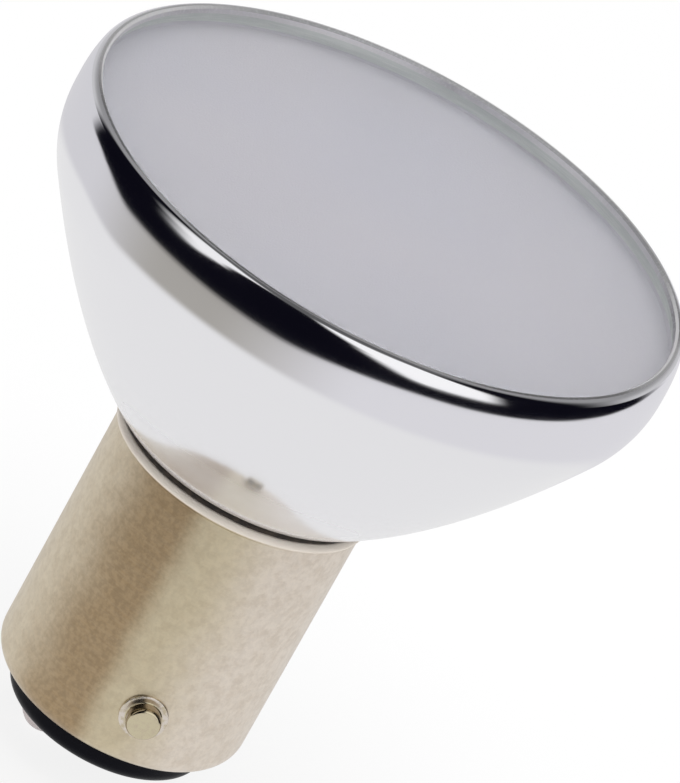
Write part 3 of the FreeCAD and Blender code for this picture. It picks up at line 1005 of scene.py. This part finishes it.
@dataclass
class Cap:
    """The nickelled cap: its shell, two bayonet pins, and the near-black seam under the bowl, partly
    painted shade.

    The seam's cement lies seam_inset inside the shell's face. Its ring swells and shrinks by the
    shares seam_swell and seam_ripple of its depth.
    """

    radius: float = 7.58
    wall: float = 0.3
    foot_width: float = 1.5
    curl: float = 1.3
    bead_height: float = 0.66
    bead_radius: float = 0.36
    pin_radius: float = 1.0
    pin_length: float = 0.94
    pin_round: float = 0.22
    end_angle: float = 50.0
    shank_radius: float = 0.8
    collar_radius: float = 1.4
    collar_thickness: float = 0.14
    collar_round: float = 0.06
    rivet_radius: float = 1.25
    rivet_thickness: float = 0.25
    seam_inset: float = 0.06
    seam_depth: float = 0.14
    seam_ease: float = 1.01
    seam_swell: float = 0.12
    seam_ripple: float = 0.04

    def shell_profile(self) -> Profile:
        """Draw the shell's wall.

        Returns:
            The closed section: curled foot, straight barrel and beaded mouth.
        """
        foot, mouth = height_of("cap_shell", 0), height_of("cap_shell", 1)
        bore_radius, foot_radius = self.radius - self.wall, self.radius - self.foot_width
        half = self.bead_height / 2.0
        bead_middle = (self.radius - math.sqrt(self.bead_radius ** 2 - half ** 2), mouth - half)
        swing = math.degrees(math.asin(half / self.bead_radius))
        curl_middle = (self.radius - self.curl, foot + self.curl)
        section = Profile([(foot_radius, foot)])
        section.line(self.radius - self.curl, foot)
        section.arc(curl_middle, self.curl, -90.0, 0.0, steps=20)
        section.line(self.radius, mouth - self.bead_height, steps=16)
        section.arc(bead_middle, self.bead_radius, -swing, swing, steps=14)
        section.line(bore_radius, mouth).line(bore_radius, foot + self.curl, steps=8)
        section.arc(curl_middle, self.curl - self.wall, 0.0, -90.0, steps=10)
        return section.line(foot_radius, foot + self.wall).line(foot_radius, foot)

    def pin_level(self) -> float:
        """Give the height of the pins' axis."""
        return (height_of("bayonet_pin_front", 0) + height_of("bayonet_pin_front", 1)) / 2.0

    def make_shell(self) -> None:
        """Turn the shell and drill it for the pins."""
        piece = turned("shell", self.shell_profile(), [SatinNickel().build()], segments=288)
        centre = Vector((0.0, 0.0, self.pin_level()))
        bore(piece, self.shank_radius, [centre], Vector((0.0, 1.0, 0.0)), 3.0 * self.radius)
        seat(piece, Slot.SHELL, "cap_shell")

    def make_pin(self, place: str, side: float, finishes: Sequence[Material]) -> None:
        """Make one pin: rivet head, shank, collar and head.

        Each profile point has a radius round the pin's axis and a distance from the lamp's. A
        point that hugs the shell keeps that distance round the lamp: it lies at the square root
        of the distance squared less the point's sideways offset squared.

        Args:
            place: The pin's name, front or back.
            side: -1 for the front pin, 1 for the back one.
            finishes: Materials of the pin's end, its collar and its side, which is painted darker as
                shade.
        """
        bore_radius, shank = self.radius - self.wall, self.shank_radius
        inner = bore_radius - self.rivet_thickness
        top, collar_top = self.radius + self.pin_length, self.radius + self.collar_thickness
        small = self.collar_round
        edge = (self.pin_radius - self.pin_round, top - self.pin_round)
        section = Profile([(0.0, inner)])
        section.line(self.rivet_radius, inner, steps=4).line(self.rivet_radius, bore_radius)
        section.line(shank, bore_radius).line(shank, self.radius)
        section.line(self.collar_radius, self.radius, steps=2, zone=1)
        hugging = len(section.points)
        section.line(self.collar_radius, collar_top - small, zone=1)
        section.arc((self.collar_radius - small, collar_top - small), small, 0.0, 90.0, steps=5,
                    zone=1)
        section.line(self.pin_radius + small, collar_top, steps=3, zone=1)
        section.arc((self.pin_radius + small, collar_top + small), small, -90.0, -180.0, steps=5)
        section.line(self.pin_radius, top - self.pin_round, steps=6, zone=2)
        section.arc(edge, self.pin_round, 0.0, self.end_angle, steps=6, zone=2)
        section.arc(edge, self.pin_round, self.end_angle, 90.0, steps=5).line(0.0, top, steps=6)
        vertices, faces, zones, owner = turned_grid(section, segments=96)
        across, along, distance = vertices.T
        lift = np.where(owner < hugging, np.sqrt(distance ** 2 - across ** 2), distance)
        placed = np.column_stack([across, side * lift, self.pin_level() + along])
        piece = make_object(f"pin_{place}", placed, faces, finishes, zones)
        seat(piece, Slot.PIN, f"bayonet_pin_{place}")

    def make_seam(self) -> None:
        """Make the near-black cement that shows between bead and bowl, partly painted shade; a ring
        of uneven thickness.

        Its outer reach swells with the product of 5 and 13 waves round the turn, and ripples
        with 37 small ones. Its height is the gap over seam_ease.
        """
        middle = self.radius - self.seam_inset
        level = height_of("cap_shell", 1) + SEAM_GAP / 2.0
        section = Profile([(middle + self.seam_depth, level)])
        section.arc((middle, level), self.seam_depth, 0.0, 360.0, steps=14)
        placed, faces, zones, _ = turned_grid(section, segments=288)
        turn = np.arctan2(placed[:, 1], placed[:, 0])
        uneven = self.seam_swell * np.sin(5.0 * turn + 0.8) * np.sin(13.0 * turn)
        uneven += self.seam_ripple * np.sin(37.0 * turn)
        placed[:, :2] *= 1.0 + uneven[:, None] * self.seam_depth / middle
        stretch = SEAM_GAP / (2.0 * self.seam_ease * self.seam_depth)
        placed[:, 2] = level + (placed[:, 2] - level) * stretch
        piece = make_object("seam_ring", placed, faces, [SEAM_SHADE_CEMENT.build()], zones)
        seat(piece, Slot.CEMENT)

    def make(self) -> None:
        """Make the shell, the pins and the seam."""
        self.make_shell()
        finishes = [PIN_END.build(), PIN_COLLAR.build(), PIN_SHADED_SIDE.build()]
        for place, side in (("front", -1.0), ("back", 1.0)):
            self.make_pin(place, side, finishes)
        self.make_seam()


@dataclass
class Foot:
    """The black glass foot, cast into the cap's curl, with its eyelets and solder contacts.

    It takes the shell's bore and curl from the cap. The solder domes are pressed in by the share
    dent of their radius, more or less by a slow and a quick wave.
    """

    cap: Cap
    radius: float = 6.08
    edge_round: float = 0.8
    side_wall: float = 2.6
    dish_depth: float = 0.9
    contact_offset: float = 3.1
    hole_radius: float = 0.8
    drill_length: float = 20.0
    solder_radius: float = 1.55
    plug_radius: float = 0.5
    plug_depth: float = 0.8
    dent: float = 0.035
    slow_wave: float = 0.025
    quick_wave: float = 0.012

    def foot_profile(self) -> Profile:
        """Draw half the foot's section.

        Returns:
            The section, from its face to the dish inside the cap.
        """
        face, dish_top = height_of("insulator", 0), height_of("insulator", 1)
        shell_bore, curl = self.cap.radius - self.cap.wall, self.cap.curl - self.cap.wall
        curl_foot = height_of("cap_shell", 0) + self.cap.wall
        inner = shell_bore - self.side_wall
        middle = (self.radius - self.edge_round, face + self.edge_round)
        section = Profile([(0.0, face)])
        section.line(self.radius - self.edge_round, face, steps=14)
        section.arc(middle, self.edge_round, -90.0, 0.0, steps=14)
        section.line(self.radius, curl_foot, steps=3).line(shell_bore - curl, curl_foot)
        section.arc((shell_bore - curl, curl_foot + curl), curl, -90.0, 0.0, steps=12)
        section.line(shell_bore, dish_top, steps=2).line(inner, dish_top, steps=2)
        section.line(inner, dish_top - self.dish_depth, steps=2)
        return section.line(0.0, dish_top - self.dish_depth, steps=6)

    def make_foot(self) -> None:
        """Turn the foot and drill it for the eyelets."""
        piece = turned("glass_foot", self.foot_profile(), [BlackGlass().build()], segments=192)
        centres = [Vector((side * self.contact_offset, 0.0, height_of("insulator", 0)))
                   for side in (-1.0, 1.0)]
        bore(piece, self.hole_radius, centres, Vector((0.0, 0.0, 1.0)), self.drill_length)
        seat(piece, Slot.FOOT, "insulator")

    def make_contact(self, place: str, side: float, finish: Material) -> None:
        """Make one solder dome on its plug.

        The dome is a cap of a sphere whose radius is the sum of squares of its own radius and
        height over twice the height. Half a wave from its tip to its rim presses it in, and 3
        slow and 7 quick waves round it make that uneven.

        Args:
            place: The contact's name, left or right.
            side: -1 for the left contact, 1 for the right one.
            finish: The solder's material.
        """
        node = f"solder_contact_{place}"
        tip, top = height_of(node, 0), height_of(node, 1)
        plate = top - self.plug_depth
        rise = plate - tip
        sphere = (self.solder_radius ** 2 + rise ** 2) / (2.0 * rise)
        rim_angle = math.degrees(math.atan2(rise - sphere, self.solder_radius))
        section = Profile([(0.0, tip)])
        section.arc((0.0, tip + sphere), sphere, -90.0, rim_angle, steps=28)
        section.line(self.plug_radius, plate, steps=3).line(self.plug_radius, top, steps=3)
        section.line(0.0, top, steps=2)
        vertices, faces, zones, _ = turned_grid(section, segments=72)
        across, along, height = vertices.T
        turn = np.arctan2(along, across)
        pressed = np.sin(math.pi * np.clip((plate - height) / rise, 0.0, 1.0))
        slow = self.slow_wave * np.sin(3.0 * turn + side)
        quick = self.quick_wave * np.sin(7.0 * turn + 2.0)
        share = 1.0 - pressed * (self.dent + slow + quick)
        placed = np.column_stack([across * share + side * self.contact_offset, along * share, height])
        piece = make_object(f"solder_{place}", placed, faces, [finish], zones)
        seat(piece, Slot.SOLDER, node)

    def make(self) -> None:
        """Make the glass foot and both contacts, and dress the eyelets."""
        self.make_foot()
        solder = SOLDER.build()
        for place, side in (("left", -1.0), ("right", 1.0)):
            self.make_contact(place, side, solder)
        dress(EYELET_BRASS, "contact_eyelet_left", "contact_eyelet_right")


class Core:
    """What the closed lamp holds: quartz capsule, cement and lead wires."""

    def make(self) -> None:
        """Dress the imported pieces, whose shapes are right as they are."""
        dress(QUARTZ, "halogen_capsule")
        dress(NECK_CEMENT, "neck_cement")
        dress(LEAD_METAL, "lead_wire_left", "lead_wire_right")


@dataclass
class Camera:
    """The photograph's view: a long lens, from above and a little left, rolled with the lamp.

    It aims at a point above the cap's mouth, shifted to the right and up in the view. The focal
    length is in pixels of the photograph, and the clip distances are metres.
    """

    azimuth: float = FRONT_AZIMUTH
    elevation: float = 26.12
    roll: float = 29.3
    distance: float = 450.0
    aim_above_mouth: float = 2.9
    aim_right: float = 2.675
    aim_up: float = 3.13
    focal_pixels: float = 8140.0
    frame_height: int = 783
    sensor: float = 36.0
    clip: Span = (0.01, 20.0)

    def directions(self) -> tuple[Vector, Vector, Vector]:
        """Work out the view's directions before the roll from its azimuth and elevation.

        Returns:
            The directions to the right, up and back.
        """
        turn, rise = math.radians(self.azimuth), math.radians(self.elevation)
        right = Vector((math.cos(turn), math.sin(turn), 0.0))
        up = Vector((-math.sin(turn) * math.sin(rise), math.cos(turn) * math.sin(rise),
                     math.cos(rise)))
        back = Vector((math.sin(turn) * math.cos(rise), -math.cos(turn) * math.cos(rise),
                       math.sin(rise)))
        return right, up, back

    def make(self) -> None:
        """Set up the scene's camera."""
        right, up, back = self.directions()
        roll = math.radians(self.roll)
        across = math.cos(roll) * right + math.sin(roll) * up
        upward = -math.sin(roll) * right + math.cos(roll) * up
        level = height_of("cap_shell", 1) + self.aim_above_mouth
        aim = Vector((0.0, 0.0, level)) + self.aim_right * right + self.aim_up * up
        lens = bpy.data.cameras.new("photo_camera")
        lens.sensor_width = self.sensor
        lens.lens = self.focal_pixels * self.sensor / self.frame_height
        lens.clip_start, lens.clip_end = self.clip
        camera = bpy.data.objects.new("photo_camera", lens)
        place = Matrix((across, upward, back)).transposed().to_4x4()
        place.translation = (aim + self.distance * back) * MM
        camera.matrix_world = place
        bpy.context.scene.collection.objects.link(camera)
        bpy.context.scene.camera = camera


@dataclass(frozen=True)
class SoftBox:
    """A soft box as metal mirrors it: a patch of sky, placed by angle and by rise in degrees.

    Each side fades between two angles, and the top between two rises. The left side leans out by
    lean times the rise. Below the rise low_start, the sides close in by low_left and low_right
    times the depth under it. On the floor the box starts between two distances, its foot.
    """

    left: Span
    right: Span
    foot: Span
    low_left: float
    low_right: float
    strength: float
    top: Span = (62.0, 76.0)
    lean: float = 0.3
    low_start: float = 3.0

    def over(self, graph: Graph, tone: Value, angle: Value, rise: Value, share: Value) -> Value:
        """Lay the box's light over what is mirrored.

        Args:
            graph: The node tree.
            tone: What is mirrored without the box.
            angle: Angle round the lamp.
            rise: Angle over the horizon.
            share: Share of the box that shows at its top or foot.

        Returns:
            The tone with the box, which is full between its two sides.
        """
        depth = graph.calc("MINIMUM", rise - self.low_start, 0.0)
        lean = graph.calc("MAXIMUM", rise, 0.0) * self.lean + depth * self.low_left
        from_right = angle - depth * self.low_right
        between = (angle + lean).fade(*self.left) * from_right.fade(*self.right, 1.0, 0.0)
        return graph.blend(between * share, tone, (self.strength,) * 3)


@dataclass
class Studio:
    """A pale floor and soft light: two soft boxes in front, a grey sky behind, dark between.

    Polished metal mirrors the sky and the floor, and the eye sees both white. The sky is dark in
    front. Behind, from back_left and back_right on, it turns from low_sky to sky as it rises,
    and high up it is top_sky all round. The floor is white round the lamp. Beyond paper_start it
    is paper, left_pale on the left, beige at the front left and pale on the right, and beyond
    dark_start it is dark in front. On the left and the right the dark starts further out by
    reach_left and reach_right, and the paper by paper_share of reach_left. Every edge fades over
    a span of angles or of distances from the lamp.
    """

    dark: Colour = (0.0035, 0.0033, 0.0070)
    low_sky: Colour = (0.58, 0.58, 0.59)
    sky: Colour = (0.30, 0.30, 0.305)
    top_sky: Colour = (0.11, 0.11, 0.112)
    sky_rise: Span = (8.0, 32.0)
    top_rise: Span = (58.0, 72.0)
    back_left: Span = (-126.0, -110.0)
    back_right: Span = (98.0, 132.0)
    boxes: tuple[SoftBox, ...] = (
        SoftBox(left=(-70.0, -46.0), right=(-39.5, -34.0), foot=(240.0, 900.0), low_left=0.0,
                low_right=1.7, strength=0.92),
        SoftBox(left=(12.0, 24.0), right=(60.0, 70.0), foot=(280.0, 560.0), low_left=2.0,
                low_right=0.0, strength=1.0),
    )
    rim_level: float = 38.0
    white: Colour = (0.825, 0.825, 0.825)
    beige: Colour = (0.41, 0.395, 0.365)
    pale: Colour = (0.745, 0.740, 0.765)
    left_pale: Colour = (0.67, 0.666, 0.69)
    pale_angles: Span = (-34.0, 24.0)
    left_angles: Span = (-100.0, -50.0)
    paper_start: Span = (49.0, 62.0)
    paper_share: float = 0.3
    dark_start: Span = (100.0, 114.0)
    dark_left: Span = (-116.0, -106.0)
    dark_right: Span = (124.0, 146.0)
    reach_left: float = 46.0
    reach_left_angles: Span = (-106.0, -74.0)
    reach_right: float = 42.0
    reach_right_angles: Span = (-12.0, 45.0)
    paper: Colour = (0.88, 0.88, 0.88)
    glow_share: float = 0.86
    floor_radius: float = 3000.0
    floor_corners: int = 96
    lamp_height: float = 700.0
    lamp_size: float = 700.0
    lamp_watts: float = 5.0

    def make_sky(self) -> None:
        """Make the world: dark in front, grey behind and above, with two soft boxes."""
        world = bpy.data.worlds.new("studio")
        bpy.context.scene.world = world
        world.use_nodes = True
        graph = Graph(world.node_tree)
        east, north, height = graph.split(graph.node("TexCoord").outputs["Generated"])
        angle = graph.around(east, north)
        rise = graph.calc("ARCSINE", height) * math.degrees(1.0)
        behind = graph.calc("MAXIMUM", angle.fade(*self.back_left, 1.0, 0.0),
                            angle.fade(*self.back_right))
        grey = graph.blend(rise.fade(*self.sky_rise), self.low_sky, self.sky)
        tone = graph.blend(behind, self.dark, grey)
        tone = graph.blend(rise.fade(*self.top_rise), tone, self.top_sky)
        for box in self.boxes:
            tone = box.over(graph, tone, angle, rise, rise.fade(*box.top, 1.0, 0.0))
        mirrored = graph.fill(graph.node("Background"), Color=tone)
        plain = graph.fill(graph.node("Background"), Color=WHITE)
        graph.show("OutputWorld", graph.mix(graph.seen(), mirrored, plain))

    def floor_tone(self, graph: Graph) -> Value:
        """Work out what polished metal mirrors of the floor.

        Seen from the rim the floor lies under the horizon: its rise is the rim's level over the
        distance, turned into degrees and negative.

        Args:
            graph: The floor's node tree.

        Returns:
            The mirrored tone.
        """
        east, north, _ = graph.split(graph.place())
        distance = graph.distance(east, north)
        angle = graph.around(east, north)
        paper = graph.blend(angle.fade(*self.pale_angles), self.beige, self.pale)
        paper = graph.blend(angle.fade(*self.left_angles, 1.0, 0.0), paper, self.left_pale)
        left = angle.fade(*self.reach_left_angles, self.reach_left, 0.0)
        right = angle.fade(*self.reach_right_angles, 0.0, self.reach_right)
        from_paper = distance - left * self.paper_share
        tone = graph.blend(from_paper.fade(*self.paper_start), self.white, paper)
        front = angle.fade(*self.dark_left) * angle.fade(*self.dark_right, 1.0, 0.0)
        from_dark = distance - left - right
        tone = graph.blend(from_dark.fade(*self.dark_start) * front, tone, self.dark)
        rise = graph.calc("DIVIDE", -math.degrees(self.rim_level), distance)
        for box in self.boxes:
            tone = box.over(graph, tone, angle, rise, distance.fade(*box.foot))
        return tone

    def floor_material(self) -> Material:
        """Make the floor's material.

        Returns:
            Paper that is white to the eye and keeps the lamp's shadow, that polished metal
            mirrors in the floor's tones, and that isn't there from below.
        """
        material = bpy.data.materials.new("floor_paper")
        material.use_nodes = True
        graph = Graph(material.node_tree)
        mirrored = graph.fill(graph.node("Emission"), Color=self.floor_tone(graph))
        paper = graph.fill(graph.node("BsdfDiffuse"), Color=self.paper)
        lit = graph.mix(self.glow_share, paper, graph.fill(graph.node("Emission"), Color=WHITE))
        shown = graph.mix(graph.seen(), paper, lit)
        above = graph.mix(graph.node("LightPath").outputs["Is Glossy Ray"], shown, mirrored)
        below = graph.node("NewGeometry").outputs["Backfacing"]
        clear = graph.node("BsdfTransparent").outputs[0]
        graph.show("OutputMaterial", graph.mix(below, above, clear))
        return material

    def make_floor(self) -> None:
        """Lay the floor, a disc level with the contacts' tips."""
        angle = np.linspace(0.0, FULL_TURN, self.floor_corners, endpoint=False)
        rim = np.column_stack([np.cos(angle), np.sin(angle), 0.0 * angle]) * self.floor_radius
        floor = make_object("floor", rim, [list(range(len(rim)))], [self.floor_material()], [0])
        if floor.data.polygons[0].normal.z < 0.0:
            floor.data.flip_normals()

    def make_lamp(self) -> None:
        """Hang the broad soft light overhead, which polished metal doesn't mirror."""
        light = bpy.data.lights.new("overhead", "AREA")
        light.shape = "DISK"
        light.size = self.lamp_size * MM
        light.energy = self.lamp_watts
        lamp = bpy.data.objects.new("overhead", light)
        lamp.location = (0.0, 0.0, self.lamp_height * MM)
        lamp.visible_camera = False
        lamp.visible_glossy = False
        bpy.context.scene.collection.objects.link(lamp)

    def make(self) -> None:
        """Make the whole studio."""
        self.make_sky()
        self.make_floor()
        self.make_lamp()
        bpy.context.scene.view_settings.view_transform = "Standard"


def main() -> None:
    """Make the camera and the studio, then the lamp's bowl, glass, cap, foot and core."""
    logging.basicConfig(level=logging.INFO, format="%(name)s: %(message)s")
    cap = Cap()
    for part in (Camera(), Studio(), Bowl(), FrontGlass(), cap, Foot(cap), Core()):
        part.make()
        LOG.info("%s made", type(part).__name__)


if __name__ == "__main__":
    main()
